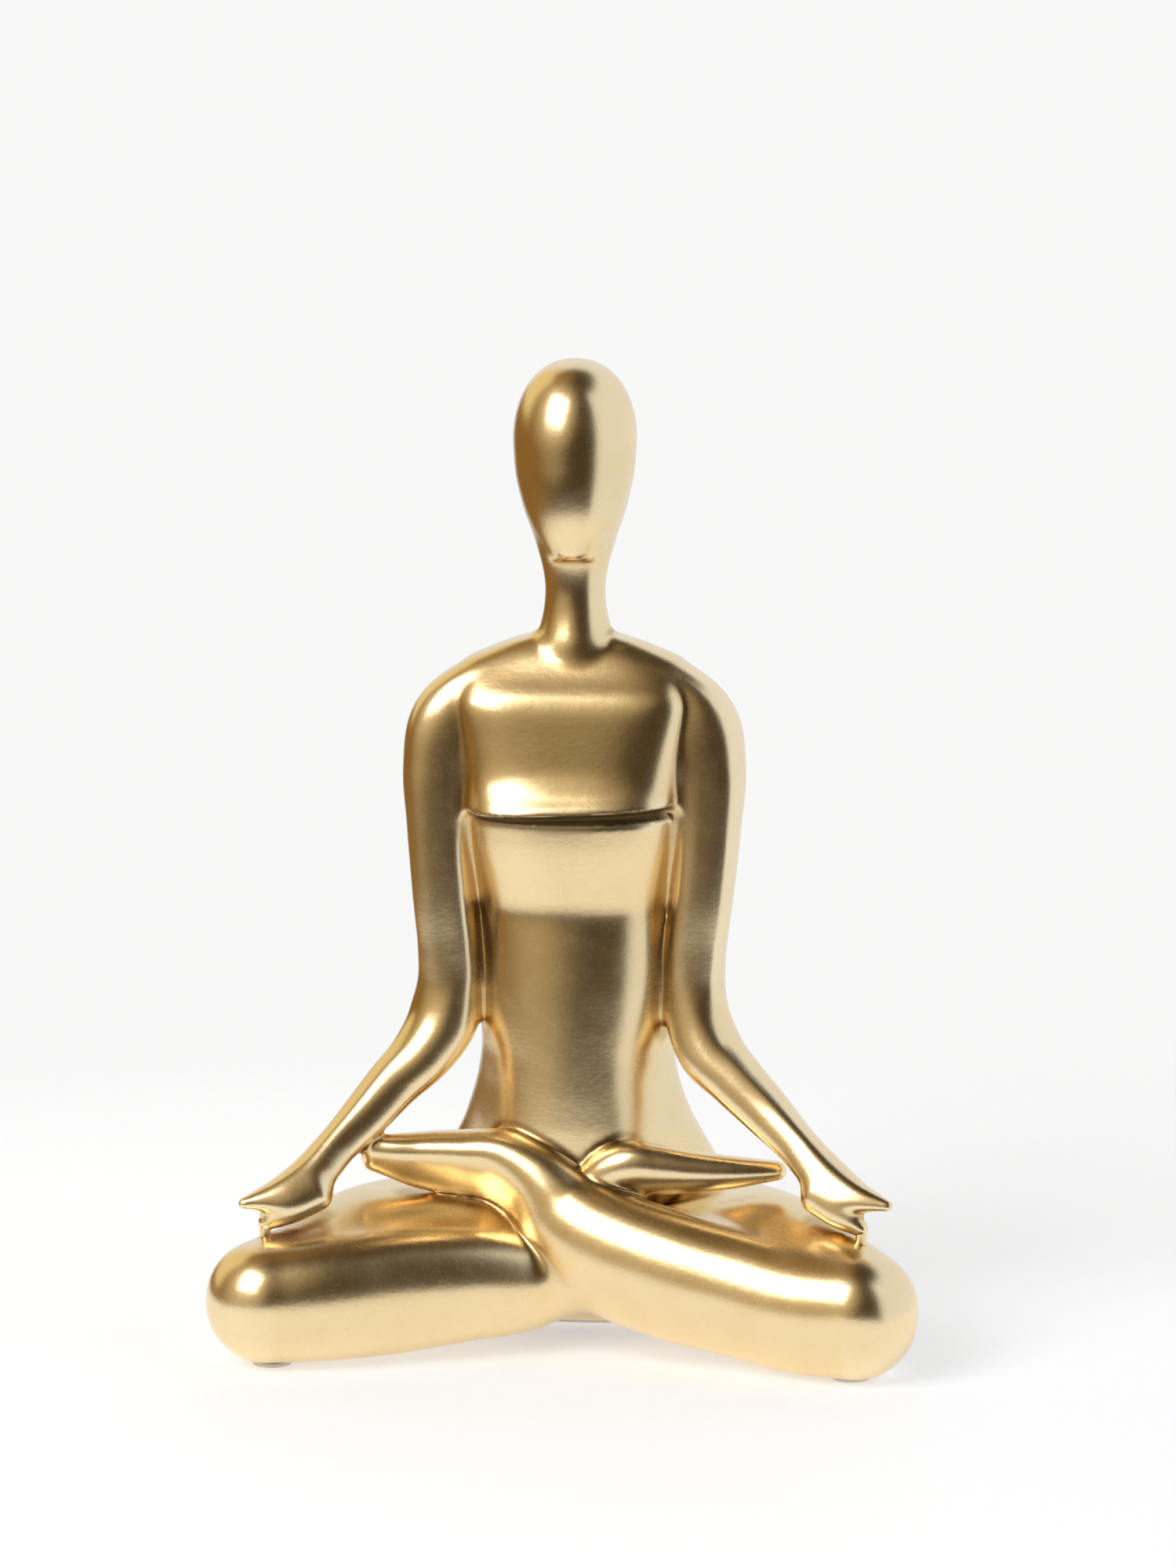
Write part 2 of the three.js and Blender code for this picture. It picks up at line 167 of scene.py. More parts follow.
# Limbs: a centre line's x, y, z, the half-sizes along the limb's side direction and square to it,
# and how square the section is there (under 2 it is a diamond with a ridge along the front).
YOKE = [
    [-20, 1, 151.1, 8, 9.9, 2.6],
    [-11, 1, 153.6, 7.8, 10.2, 2.6],
    [0, 1, 154.5, 7.8, 10.3, 2.6],
    [11, 1, 153.6, 7.8, 10.2, 2.6],
    [20, 1, 151.3, 8, 9.9, 2.6],
]
RIGHT_ARM = [
    [-11, 0.5, 153.6, 7.8, 10.2, 2.7],
    [-21, -0.8, 150.8, 8.1, 9.9, 2.7],
    [-28.2, -1.7, 145.3, 8.5, 9.8, 2.5],
    [-30.8, -2, 135, 8.5, 9, 2.7],
    [-31.4, -2.3, 122, 8.3, 7.5, 3],
    [-30.4, -2.9, 105, 7.8, 7.1, 3],
    [-29.2, -2.8, 92, 7.6, 7.2, 2.9],
    [-29, -3.2, 83, 7.5, 7.6, 2.5],
    [-30.6, -4.8, 75, 7.1, 8.4, 2],
    [-35, -7.4, 67.7, 6.6, 7.9, 1.8],
    [-41.4, -10.6, 61.1, 6.2, 6.9, 1.65],
    [-47.1, -14.4, 54.7, 5.7, 6.2, 1.6],
    [-53.3, -19.4, 48.3, 5, 5.3, 1.55],
    [-59.5, -25, 42, 4.4, 5.6, 1.5],
    [-66, -29.5, 38.8, 3.2, 4.4, 1.5],
    [-74, -33, 37, 1.2, 1.5, 1.8],
]
LEFT_ARM = [
    [11, 0.5, 153.6, 7.8, 10.2, 2.7],
    [21, -0.8, 151, 8.1, 9.9, 2.7],
    [28.2, -1.7, 145.5, 8.5, 9.8, 2.5],
    [30.8, -2, 135, 8.5, 9, 2.7],
    [31.2, -2.3, 122, 8.3, 7.6, 3],
    [30, -2.9, 105, 7.8, 7, 3],
    [28.6, -2.8, 92, 7.6, 6.8, 2.9],
    [28.4, -3.2, 84, 7.5, 6.9, 2.5],
    [29.2, -4.8, 76.5, 7.1, 7.6, 2],
    [32.4, -7.4, 69.5, 6.6, 8, 1.8],
    [38.5, -10.6, 63.5, 6.2, 7.2, 1.65],
    [46, -14.4, 56.8, 5.7, 6.3, 1.6],
    [53.2, -19.4, 50.6, 5, 5.3, 1.55],
    [61, -25.5, 44.3, 4.4, 5.6, 1.5],
    [67, -29.5, 41.6, 3.2, 4.4, 1.5],
    [75.2, -33, 39.9, 1.2, 1.5, 1.8],
]
RIGHT_HEEL = [
    [-58, -26.5, 38.5, 4, 5, 2],
    [-64.5, -29.8, 35, 3.2, 4, 2],
    [-68.9, -31.5, 32.2, 1.8, 1.8, 2],
]
LEFT_HEEL = [
    [59, -26.5, 40.5, 4, 5, 2],
    [64.7, -29.8, 37, 3.2, 4, 2],
    [68.9, -31.5, 34, 1.8, 1.8, 2],
]
RIGHT_THIGH = [
    [-27, 13, 19.5, 15.5, 15.5, 2],
    [-38, 1, 20, 16, 15.5, 2],
    [-49, -13, 20, 16, 15, 2],
    [-60, -27, 16.6, 14.6, 14.2, 2.1],
    [-68.0, -36, 14.8, 14.2, 14, 2.2],
]
LEFT_THIGH = [
    [27, 13, 19.5, 15.5, 15.5, 2],
    [38, 1, 20.4, 16, 15.5, 2],
    [49, -13, 20.8, 16, 15, 2],
    [60, -27, 18, 15.4, 14.2, 2.1],
    [68.2, -36, 14.9, 14.9, 14, 2.3],
]
UNDER_SHIN = [
    [-68, -36, 14.8, 14.2, 14, 2.2],
    [-56, -34, 15.4, 14.6, 13.4, 2.2],
    [-42, -29, 16.2, 15, 12.8, 2.2],
    [-24, -23, 17, 13.9, 11.8, 2.1],
    [-9, -17, 17, 12.2, 11, 2],
    [1, -12.5, 19.5, 9.6, 8.8, 2],
    [5, -13, 27, 7, 6, 2],
]
UNDER_FOOT = [
    [3.5, -15.5, 34, 4.6, 4.4, 2],
    [5.8, -16.2, 38.2, 5.2, 4.6, 2],
    [9.6, -16.8, 41.6, 6.2, 5.2, 2.1],
    [14.5, -16.8, 43.3, 6.9, 5.5, 2.2],
    [20.5, -16.7, 43.3, 6.2, 5.2, 2.2],
    [28.5, -16.6, 43, 5, 4.5, 2.2],
    [37.6, -16, 42.9, 3.9, 3.7, 2.2],
    [48.3, -15, 43.3, 2.4, 2.4, 2],
]
OVER_SHIN = [
    [68.2, -36, 14.9, 14.9, 14, 2.3],
    [56, -34, 15.2, 14.8, 13.4, 2.2],
    [41, -29.5, 17.6, 14.9, 12.8, 2.1],
    [25, -26, 20.6, 15.1, 12.2, 2.1],
    [10, -22, 25, 14.6, 11.4, 2.1],
    [-1, -18, 32, 12.2, 9.8, 2],
]
RIGHT_CALF = [
    [-54, -22, 17, 13.8, 13.2, 2],
    [-42, -16, 20, 14, 13.5, 2],
    [-31, -11, 21.5, 14, 13.5, 2],
    [-19, -9, 21.5, 13.6, 13, 2],
]
LEFT_CALF = [
    [55, -23, 18, 14, 13.4, 2],
    [43, -15.5, 21, 14.4, 13.5, 2],
    [33, -12, 21.5, 13.6, 13, 2],
    [22, -10, 20, 12.5, 12, 2],
]
OVER_FOOT = [
    [-9, -15.5, 39.6, 10, 7.8, 2.1],
    [-16.5, -14.3, 43, 8.9, 6.4, 2.4],
    [-25, -14, 43.5, 7.8, 5.4, 2.8],
    [-35, -14, 43.8, 6.8, 4.6, 2.9],
    [-41, -15, 44.8, 5.4, 4, 2.7],
    [-45.4, -16, 45.4, 4.4, 3, 2.2],
]

UP = np.array([0.0, 0.0, 1.0])
BACKWARD = np.array([0.0, 1.0, 0.0])
FOOT_LEAN = {"from": 32, "to": 40, "lean": -0.42}  # from these heights up the feet's rims lean out
ARM_TURN = {"from": 100, "to": 74, "lean": -1.6}  # between these heights the arm's ridge turns up

# ---- distance fields on one lattice ----------------------------------------------------------

SPACE_LOW = (-85.0, -54.0, -2.0)
SPACE_HIGH = (85.0, 42.0, 233.0)
AXES = [np.arange(low, high, VOXEL, dtype=np.float32) for low, high in zip(SPACE_LOW, SPACE_HIGH)]
SHAPE = tuple(len(axis) for axis in AXES)


class Window:
    """The part of the lattice between two corners, as broadcastable coordinates."""

    def __init__(self, low, high):
        self.index = tuple(
            slice(*np.searchsorted(axis, [a, b])) for axis, a, b in zip(AXES, low, high)
        )
        self.x, self.y, self.z = np.ix_(*(axis[i] for axis, i in zip(AXES, self.index)))
        self.shape = (self.x.size, self.y.size, self.z.size)


class Field:
    """A signed distance on the lattice, kept only inside one window."""

    def __init__(self, window, values):
        self.window = window
        self.values = values

    def full(self):
        """The same distance on the whole lattice."""
        whole = np.full(SHAPE, FAR, np.float32)
        whole[self.window.index] = self.values
        return whole


def distance(window, level, steepest=1e9):
    """Turns a function that is zero on the surface into a distance, near that surface.

    The slope is capped at steepest, because it is wrong along the middle of a limb.
    """
    steepness = np.sqrt(sum(g * g for g in np.gradient(level, VOXEL)))
    steepness = np.minimum(steepness, steepest)
    return Field(window, np.clip(level / np.maximum(steepness, 1e-3), -FAR, FAR).astype(np.float32))


def blend(a, b, radius):
    """The union of two distances, with a fillet of about the given radius where they meet."""
    share = np.maximum(radius - np.abs(a - b), 0) / radius
    return np.minimum(a, b) - share * share * radius / 4


def hermite(knots, count):
    """Samples a smooth curve through the knots, evenly along its chords."""
    knots = np.array(knots, float)
    chord = np.concatenate([[0], np.cumsum(np.linalg.norm(np.diff(knots[:, :3], axis=0), axis=1))])
    slope = np.gradient(knots, chord, axis=0)
    place = np.linspace(0, chord[-1], count)
    i = np.clip(np.searchsorted(chord, place, side="right") - 1, 0, len(chord) - 2)
    span = (chord[i + 1] - chord[i])[:, None]
    t = ((place - chord[i]) / span[:, 0])[:, None]
    start = (2 * t**3 - 3 * t**2 + 1) * knots[i] + (t**3 - 2 * t**2 + t) * span * slope[i]
    end = (3 * t**2 - 2 * t**3) * knots[i + 1] + (t**3 - t**2) * span * slope[i + 1]
    return start + end


def soften(values, reach):
    """Smooths a row of samples with a bell that reaches this many samples to each side."""
    bell = np.exp(-0.5 * (np.arange(-3 * reach, 3 * reach + 1) / reach) ** 2)
    padded = np.pad(values, 3 * reach, mode="reflect", reflect_type="odd")
    return np.convolve(padded, bell / bell.sum(), mode="valid")


def stack(rows, soft):
    """A body of level sections. Sizes change smoothly with height, over about soft mm."""
    rows = np.array(rows, float)
    fine = np.arange(rows[0, 0] - 3, rows[-1, 0] + 3, 0.1)
    reach = max(1, round(soft / 0.1))
    curves = [soften(np.interp(fine, rows[:, 0], column), reach) for column in rows.T[1:]]
    low = (-curves[0].max() - FAR, curves[1].min() - FAR, rows[0, 0])
    high = (curves[0].max() + FAR, curves[3].max() + FAR, rows[-1, 0])
    window = Window(low, high)
    half, front, middle, back, power = (
        np.interp(window.z, fine, curve).astype(np.float32) for curve in curves
    )
    p = np.abs(window.x) / half
    ahead = window.y - middle
    q = np.where(ahead < 0, -ahead / (middle - front), ahead / (back - middle))
    level = (p**power + q**power) ** (1 / power) - 1
    return window, level.astype(np.float32)


def sweep(knots, side=UP):
    """A limb along a smooth centre line, with rounded ends. Its first half-size lies along side."""
    count = sweep_samples(knots)
    line = hermite(knots, count)
    points = line[:, :3]
    tangent = np.gradient(points, axis=0)
    tangent /= np.linalg.norm(tangent, axis=1)[:, None]
    across = side - tangent * (tangent * side).sum(1)[:, None]
    across /= np.linalg.norm(across, axis=1)[:, None]
    through = np.cross(tangent, across)
    reach = line[:, 3:5].max() + FAR
    window = Window(points.min(0) - reach, points.max(0) + reach)
    place = nearest(window, points, reach)
    samples = np.arange(count)

    def at(columns):
        return [np.interp(place, samples, c).astype(np.float32) for c in columns.T]

    cx, cy, cz = at(points)
    w = (window.x - cx, window.y - cy, window.z - cz)

    def dot(columns):
        return sum(a * b for a, b in zip(w, at(columns)))

    half_across, half_through, power = at(line[:, 3:6])
    p = np.abs(dot(across)) / half_across
    q = np.abs(dot(through)) / half_through
    past = dot(tangent) / np.minimum(half_across, half_through)
    section = (p**power + q**power) ** (1 / power)
    steepest = 1.5 / np.minimum(half_across, half_through)
    return distance(window, np.sqrt(section**2 + past**2) - 1, steepest)


def nearest(window, points, reach):
    """For each lattice point, how far along the line its nearest point is, in line samples."""
    best = np.full(window.shape, np.float32(1e9))
    place = np.full(window.shape, np.float32(0))
    whole = (window.x.ravel(), window.y.ravel(), window.z.ravel())
    for k, (start, end) in enumerate(zip(points[:-1], points[1:])):
        low = np.minimum(start, end) - reach
        high = np.maximum(start, end) + reach
        index = tuple(slice(*np.searchsorted(axis, [a, b])) for axis, a, b in zip(whole, low, high))
        x, y, z = np.ix_(*(axis[i] for axis, i in zip(whole, index)))
        x, y, z = x - np.float32(start[0]), y - np.float32(start[1]), z - np.float32(start[2])
        step = (end - start).astype(np.float32)
        s = np.clip((x * step[0] + y * step[1] + z * step[2]) / (step @ step), 0, 1)
        gap = (x - s * step[0]) ** 2 + (y - s * step[1]) ** 2 + (z - s * step[2]) ** 2
        nearer = gap < best[index]
        best[index][nearer] = gap[nearer]
        place[index][nearer] = k + s[nearer]
    return place


# ---- the castings ----------------------------------------------------------------------------


def ramp_up(values, low, high):
    """Goes smoothly from 0 at low to 1 at high."""
    t = np.clip((values - low) / (high - low), 0, 1)
    return t * t * (3 - 2 * t)


def torso_field():
    """Belly, hips, shoulders and the chest, whose lower edge overhangs the belly in front."""
    belly = distance(*stack(BELLY, SOFT["belly"])).full()
    hips = distance(*stack(HIPS, SOFT["hips"])).full()
    belly = -blend(-belly, lip_groove(belly), FILLET["groove"])
    trunk = blend(belly, hips, FILLET["hips"])
    trunk = blend(trunk, sweep(YOKE, BACKWARD).full(), FILLET["shoulders"])
    behind = ramp_up(AXES[1], 3, 9)[None, :, None]
    above = ramp_up(AXES[2], 138, 154)
    return blend(trunk, chest_field(), 0.8 + 4 * np.maximum(behind, above))


def chest_field():
    """The chest, cut off at its lip in front and tucked into the belly at the back."""
    window, level = stack(CHEST, SOFT["chest"])
    chest = distance(window, level)
    tucked = ramp_up(window.y, TUCK["from_y"], TUCK["to_y"])
    tucked = TUCK["depth"] * tucked * ramp_up(-window.z, -TUCK["top_z"], -TUCK["full_z"])
    over_lip = np.broadcast_to(window.z - lip_height(window.x), window.shape)
    chest.values = -blend(-chest.values - tucked, over_lip, FILLET["lip"])
    return chest.full()


def lip_height(x):
    """Height of the chest's lower edge."""
    return LIP["z"] + LIP["rise"] * x


def leftward(x):
    """Goes from 0 to 1 along the lip, towards the figure's left."""
    return ramp_up(x, GROOVE["from_x"], GROOVE["to_x"])


def lip_groove(belly):
    """A groove in the belly right under the chest's lip, wider towards the figure's left."""
    x, y, z = np.ix_(*AXES)
    radius = GROOVE["radius"] + GROOVE["more"] * leftward(x)
    drop = z - (lip_height(x) - 0.9 * radius)
    ends = np.maximum(np.abs(x) - GROOVE["half_length"], 0) + np.maximum(y - GROOVE["back_y"], 0)
    return (np.sqrt(belly**2 + drop**2 + ends**2) - radius).astype(np.float32)


def lip_shadow(points):
    """How much painted shadow darkens the skin by the chest's lip: a line, thicker to the left, and
    a smudge below.
    """
    x, y, z = points.T
    drop = z - lip_height(x)
    half = 0.97 + 0.8 * leftward(x)
    line = ramp_up(-np.abs(drop + half - 0.6), -half - 0.3, -half)
    line = line * ramp_up(-y, 8, 12) * ramp_up(-np.abs(x), -26, -22)
    smudge = 0.3 * np.exp(-(((x + 2) / 7) ** 2) - ((drop + 3) / 1.8) ** 2) * (y < 0)
    return np.maximum(line, smudge)


def head_field():
    """The neck, and an egg cut flat under the chin."""
    neck = distance(*stack(NECK, SOFT["neck"])).full()
    window, level = stack(FACE, SOFT["face"])
    over = np.maximum((window.z - CROWN["low"]) / CROWN["height"], 0)
    face = distance(window, ((level + 1) ** DOME + over**DOME) ** (1 / DOME) - 1)
    chin = np.broadcast_to(window.z - CHIN, window.shape)
    face.values = -blend(-face.values, chin, FILLET["chin"])
    return blend(neck, face.full(), FILLET["chin"])


def arm_field(arm, heel):
    """An arm down to the fingertips, and the heel of its hand."""
    limb = sweep(arm, arm_side(arm)).full()
    return blend(limb, sweep(heel, arm_side(heel)).full(), FILLET["hand"])


def arm_side(knots):
    """Level at the upper arm, and turned at the forearm so that its ridge faces up to the front."""
    height = hermite(knots, sweep_samples(knots))[:, 2]
    turn = ARM_TURN["lean"] * ramp_up(-height, -ARM_TURN["from"], -ARM_TURN["to"])
    return np.stack([0 * turn, 0 * turn + 1, turn], axis=1)


def sweep_samples(knots):
    """How many samples a limb's centre line gets."""
    return max(24, len(knots) * 10)


def leg_field(thigh, shin, calf, foot):
    """A folded leg. The calf fills the fold, and the fold's fillet fades out towards the knee.

    A foot that is not given separately is already the far end of the shin's line.
    """
    fold = 0.4 + 4.6 * ramp_up(-np.abs(AXES[0]), -64, -50)[:, None, None]
    leg = blend(sweep(thigh).full(), sweep(shin, leg_side(shin)).full(), fold)
    leg = blend(leg, sweep(calf).full(), fold)
    if foot:
        leg = blend(leg, sweep(foot, leg_side(foot)).full(), FILLET["foot"])
    return leg


def leg_side(knots):
    """Upright along the shin, and leaning out at the foot, which is the only part so high up."""
    height = hermite(knots, sweep_samples(knots))[:, 2]
    lean = FOOT_LEAN["lean"] * ramp_up(height, FOOT_LEAN["from"], FOOT_LEAN["to"])
    return np.stack([0 * lean, lean, 0 * lean + 1], axis=1)


def cut_flat(values):
    """Trims a casting at its flat underside."""
    return np.maximum(values, (BASE - AXES[2]).astype(np.float32))


# ---- skin and pieces -------------------------------------------------------------------------


def sample(values, points):
    """Reads a lattice at points, between the lattice's points."""
    place = (points - np.array(SPACE_LOW)) / VOXEL
    base = np.clip(np.floor(place).astype(int), 0, np.array(SHAPE) - 2)
    part = place - base
    result = np.zeros(len(points))
    for corner in np.ndindex(2, 2, 2):
        weight = np.prod(np.where(corner, part, 1 - part), axis=1)
        i, j, k = (base + corner).T
        result += weight * values[i, j, k]
    return result


def skin(values):
    """Meshes the zero surface of a lattice: points, triangles and smooth normals."""
    grid = openvdb.FloatGrid(background=FAR)
    grid.copyFromArray(values)
    grid.transform = openvdb.createLinearTransform(voxelSize=VOXEL)
    points, quads = grid.convertToQuads()
    points = points.astype(float) + np.array(SPACE_LOW)
    faces = np.concatenate([quads[:, [0, 1, 2]], quads[:, [0, 2, 3]]]).astype(int)
    faces = faces.reshape(2, -1, 3).transpose(1, 0, 2).reshape(-1, 3)
    normals = np.stack([sample(g, points) for g in np.gradient(values, VOXEL)], axis=1)
    normals /= np.linalg.norm(normals, axis=1)[:, None]
    a, b, c = (points[faces[:, i]] for i in range(3))
    outward = (np.cross(b - a, c - a) * normals[faces[:, 0]]).sum(1)
    if outward.sum() < 0:
        faces = faces[:, ::-1]
    return points, faces, normals


def edge_loops(faces):
    """The closed loops of edges that only one of the faces uses."""
    edges = np.concatenate([faces[:, [0, 1]], faces[:, [1, 2]], faces[:, [2, 0]]])
    have = set(map(tuple, edges.tolist()))
    after = {}
    for a, b in have:
        if (b, a) not in have:
            after.setdefault(a, []).append(b)
    loops = []
    while after:
        start = next(iter(after))
        loop = [start]
        while True:
            follow = after[loop[-1]]
            step = follow.pop()
            if not follow:
                del after[loop[-1]]
            if step == start:
                break
            loop.append(step)
        loops.append(loop)
    return loops


def piece(name, points, faces, normals, marks, material):
    """One closed casting: its share of the skin, with a fan across each cut."""
    loops = [loop for loop in edge_loops(faces) if len(loop) > 2]
    fans = []
    hubs = []
    for loop in loops:
        hub = len(points) + len(hubs)
        hubs.append(points[loop].mean(0))
        fans += [[hub, b, a] for a, b in zip(loop, loop[1:] + loop[:1])]
    cut = len(faces)
    if hubs:
        points = np.concatenate([points, hubs])
        faces = np.concatenate([faces, np.array(fans)])
        normals = np.concatenate([normals, np.tile([[0.0, 0.0, 1.0]], (len(hubs), 1))])
    used, flat = np.unique(faces, return_inverse=True)
    faces = flat.reshape(-1, 3)
    mesh = bpy.data.meshes.new(name)
    mesh.vertices.add(len(used))
    mesh.loops.add(faces.size)
    mesh.polygons.add(len(faces))
    placed = (points[used] + (0, NECK_Y, 0)) * MM
    mesh.vertices.foreach_set("co", placed.ravel())
    mesh.loops.foreach_set("vertex_index", faces.ravel())
    mesh.polygons.foreach_set("loop_start", np.arange(0, faces.size, 3))
    mesh.update(calc_edges=True)
    mesh.polygons.foreach_set("use_smooth", np.arange(len(faces)) < cut)
    mesh.normals_split_custom_set_from_vertices(normals[used])
    for mark, values in marks.items():
        padded = np.concatenate([values, np.zeros(len(hubs))])
        mesh.attributes.new(mark, "FLOAT", "POINT").data.foreach_set("value", padded[used])
    mesh.materials.append(material)
    made = bpy.data.objects.new(name + "_skin", mesh)
    bpy.context.scene.collection.objects.link(made)
    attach(made, "root")
    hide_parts(name)


def castings(material):
    """Joins the six castings, meshes them as one skin and splits it again into six pieces."""
    fields = {
        "torso": cut_flat(torso_field()),
        "head": head_field(),
        "right_arm": arm_field(RIGHT_ARM, RIGHT_HEEL),
        "left_arm": arm_field(LEFT_ARM, LEFT_HEEL),
        "right_leg": cut_flat(leg_field(RIGHT_THIGH, UNDER_SHIN, RIGHT_CALF, UNDER_FOOT)),
        "left_leg": cut_flat(leg_field(LEFT_THIGH, OVER_SHIN + OVER_FOOT, LEFT_CALF, None)),
    }
    height = AXES[2]
    crossing = 8.0 - 7.0 * ramp_up(height, 12, 30)
    armpit = 0.8 + 2.7 * ramp_up(height, 70, 78) * ramp_up(-height, -146, -136)
    whole = blend(fields["torso"], fields["head"], FILLET["neck"])
    legs = blend(fields["right_leg"], fields["left_leg"], crossing)
    whole = blend(whole, legs, FILLET["lap"])
    for arm in ("right_arm", "left_arm"):
        whole = blend(whole, fields[arm], armpit)
        fields[arm] = np.maximum(fields[arm], shoulder_joint())
    whole = cut_flat(smoothed(whole))
    points, faces, normals = skin(whole)
    middles = points[faces].mean(1)
    owner = np.argmin([sample(field, middles) for field in fields.values()], axis=0)
    # Ridges paler from wear, and creases darkened with painted shade.
    wear_and_crease_shade = sample(bumpiness(whole), points)
    # The mark by the chest's lip is a painted shadow.
    marks = {"wear_and_crease_shade": wear_and_crease_shade, "painted_lip_shade": lip_shadow(points)}
    for number, name in enumerate(fields):
        piece(name, points, faces[owner == number], normals, marks, material)


def shoulder_joint():
    """Negative on the arm's side of the shoulder's bond."""
    x, _, z = np.ix_(*AXES)
    return (SHOULDER_X - np.abs(x) - np.maximum(SHOULDER_LOW - z, 0)).astype(np.float32)


def smoothed(values):
    """Averages each lattice point with its neighbours."""
    for axis in range(3):
        values = (np.roll(values, 1, axis) + 2 * values + np.roll(values, -1, axis)) / 4
    return values


def bumpiness(values):
    """Positive on ridges and negative in creases, from about -1 to 1."""
    return np.clip((smoothed(smoothed(values)) - values) / VOXEL * 12, -1, 1)


# ---- materials -------------------------------------------------------------------------------


class Shader:
    """A material's node tree, with short calls for the nodes used here."""

    def __init__(self, name):
        self.material = bpy.data.materials.new(name)
        self.material.use_nodes = True
        self.tree = self.material.node_tree
        self.surface = self.tree.nodes["Principled BSDF"]
        self.place = self.node("ShaderNodeTexCoord").outputs["Object"]

    def node(self, kind, **settings):
        made = self.tree.nodes.new(kind)
        for name, value in settings.items():
            setattr(made, name, value)
        return made

    def link(self, output, made, socket):
        self.tree.links.new(output, made.inputs[socket])

    def noise(self, size, detail=3.0, rough=0.55, stretch=(1, 1, 1)):
        """Noise whose features are about this many millimetres across."""
        moved = self.node("ShaderNodeMapping")
        moved.inputs["Scale"].default_value = stretch
        made = self.node("ShaderNodeTexNoise")
        made.inputs["Scale"].default_value = 1 / (size * MM)
        made.inputs["Detail"].default_value = detail
        made.inputs["Roughness"].default_value = rough
        self.link(self.place, moved, "Vector")
        self.link(moved.outputs["Vector"], made, "Vector")
        return made.outputs["Fac"]

    def ramp(self, value, *stops):
        """Maps a value through stops of (position, colour or grey)."""
        made = self.node("ShaderNodeValToRGB")
        slots = made.color_ramp.elements
        while len(slots) < len(stops):
            slots.new(0.5)
        for slot, (position, shade) in zip(slots, stops):
            slot.position = position
            slot.color = (*shade, 1) if isinstance(shade, tuple) else (shade, shade, shade, 1)
        self.link(value, made, "Fac")
        return made.outputs["Color"]

    def math(self, operation, a, b):
        made = self.node("ShaderNodeMath", operation=operation)
        for socket, value in enumerate((a, b)):
            if isinstance(value, (int, float)):
                made.inputs[socket].default_value = value
            else:
                self.link(value, made, socket)
        return made.outputs[0]

    def mix(self, share, a, b):
        made = self.node("ShaderNodeMix", data_type="RGBA")
        self.link(share, made, 0)
        for socket, value in ((6, a), (7, b)):
            if isinstance(value, tuple):
                made.inputs[socket].default_value = (*value, 1)
            else:
                self.link(value, made, socket)
        return made.outputs[2]

    def bump(self, height, depth, under=None):
        """Raises the surface by height times this many millimetres."""
        made = self.node("ShaderNodeBump")
        made.inputs["Distance"].default_value = depth * MM
        made.inputs["Strength"].default_value = 1.0
        self.link(height, made, "Height")
        if under is not None:
            self.link(under, made, "Normal")
        return made.outputs["Normal"]

    def set(self, **values):
        for name, value in values.items():
            socket = self.surface.inputs[name.replace("_", " ")]
            if isinstance(value, bpy.types.NodeSocket):
                self.tree.links.new(value, socket)
            elif isinstance(value, tuple):
                socket.default_value = (*value, 1)
            else:
                socket.default_value = value
        return self.material


def gold_material():
    """Satin gold: fine grain, cloudy sheen, creases darkened with painted shade, paler worn ridges
    and a painted shadow line under the chest's lip.
    """
    s = Shader("satin_gold")
    wear_and_crease_shade = s.node("ShaderNodeAttribute", attribute_name="wear_and_crease_shade").outputs["Fac"]
    painted_lip_shade = s.node("ShaderNodeAttribute", attribute_name="painted_lip_shade").outputs["Fac"]
    clouds = s.noise(14, 4)
    tone = s.ramp(clouds, (0.3, (0.89, 0.70, 0.395)), (0.7, (0.935, 0.745, 0.44)))
    crease = s.ramp(s.math("MULTIPLY", wear_and_crease_shade, -1.0), (0.15, 0.0), (0.8, 1.0))
    ridge = s.ramp(wear_and_crease_shade, (0.3, 0.0), (0.8, 1.0))
    # Painted shade: the creases are darkened towards brown.
    tone = s.mix(s.math("MULTIPLY", crease, 0.5), tone, (0.42, 0.23, 0.07))
    tone = s.mix(s.math("MULTIPLY", ridge, 0.4), tone, (1.0, 0.85, 0.6))
    # Painted shadow: the skin under the chest's lip is darkened almost to black.
    tone = s.mix(painted_lip_shade, tone, (0.12, 0.08, 0.03))
    grain = s.noise(0.55, 2)
    leather = s.noise(1.5, 2, 0.5, (0.7, 1, 1.5))
    smear = s.noise(5, 3, 0.6)
    cloudy = s.math("ADD", s.math("MULTIPLY", smear, 0.5), s.math("MULTIPLY", grain, 0.5))
    rough = s.ramp(cloudy, (0.35, 0.235), (0.68, 0.285))
    rough = s.mix(painted_lip_shade, rough, (0.55, 0.55, 0.55))
    wavy = s.bump(s.noise(8, 2), 0.012)
    pressed = s.bump(leather, 0.018, under=wavy)
    fine = s.bump(grain, 0.005, under=pressed)
    return s.set(Base_Color=tone, Metallic=1.0, Roughness=rough, Normal=fine)


def steel_material():
    s = Shader("pin_steel")
    scratches = s.noise(0.4, 3, 0.6, (1, 1, 0.08))
    tone = s.ramp(scratches, (0.3, (0.42, 0.42, 0.43)), (0.7, (0.62, 0.62, 0.63)))
    rough = s.ramp(scratches, (0.3, 0.26), (0.7, 0.42))
    return s.set(Base_Color=tone, Metallic=1.0, Roughness=rough, Normal=s.bump(scratches, 0.01))


def plastic_material():
    s = Shader("plate_plastic")
    speckle = s.noise(0.5, 3)
    tone = s.ramp(speckle, (0.35, (0.018, 0.018, 0.019)), (0.7, (0.035, 0.034, 0.033)))
    rough = s.ramp(speckle, (0.3, 0.42), (0.7, 0.6))
    return s.set(Base_Color=tone, Roughness=rough, Normal=s.bump(speckle, 0.03))


